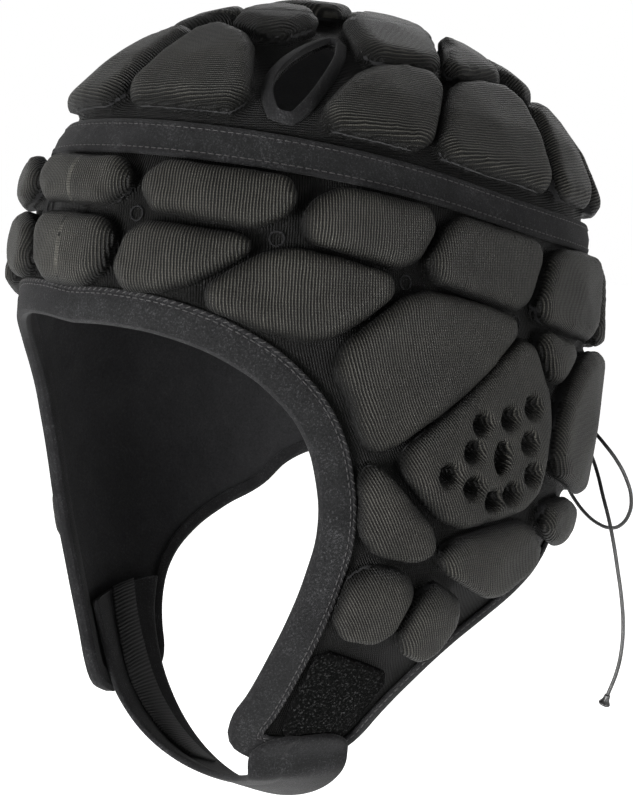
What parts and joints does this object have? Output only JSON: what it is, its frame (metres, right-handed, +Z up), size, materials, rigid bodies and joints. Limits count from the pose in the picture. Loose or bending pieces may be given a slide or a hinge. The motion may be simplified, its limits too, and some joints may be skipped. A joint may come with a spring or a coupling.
{
  "type": "rugby scrum cap",
  "caption": "Soft padded rugby headguard: grooved foam pads over crown and sides, crown band, open face, perforated ear pads, chin strap with fastening tab and a drawcord at the back.",
  "frame": {"origin": "middle of the wearer's head at brow height, where the head holds the cap", "axes": "+Z up, -Y towards the wearer's front, +X towards the wearer's left"},
  "size_m": [0.2022, 0.2309, 0.2949],
  "materials": {
    "padded_knit": "satin rib knit stretched over soft foam",
    "stitched_jersey": "matte jersey on thin foam, cover stitched",
    "ribbed_elastic": "dull ribbed elastic",
    "loop_fabric": "fuzzy loop pile",
    "elastic_cord": "smooth round elastic"
  },
  "bodies": {
    "root": {"crown_panel": "padded_knit", "side_panel": "padded_knit", "crown_band": "stitched_jersey", "vent_trim_left": "stitched_jersey", "vent_trim_right": "stitched_jersey", "face_binding": "stitched_jersey", "nape_binding": "stitched_jersey", "back_tape": "stitched_jersey", "cord_guide": "stitched_jersey", "chin_strap": "stitched_jersey", "strap_stretch_band": "ribbed_elastic", "loop_patch": "loop_fabric", "drawcord_loop": "elastic_cord", "drawcord_tail": "elastic_cord", "cord_end": "elastic_cord"}
  },
  "joints": []
}
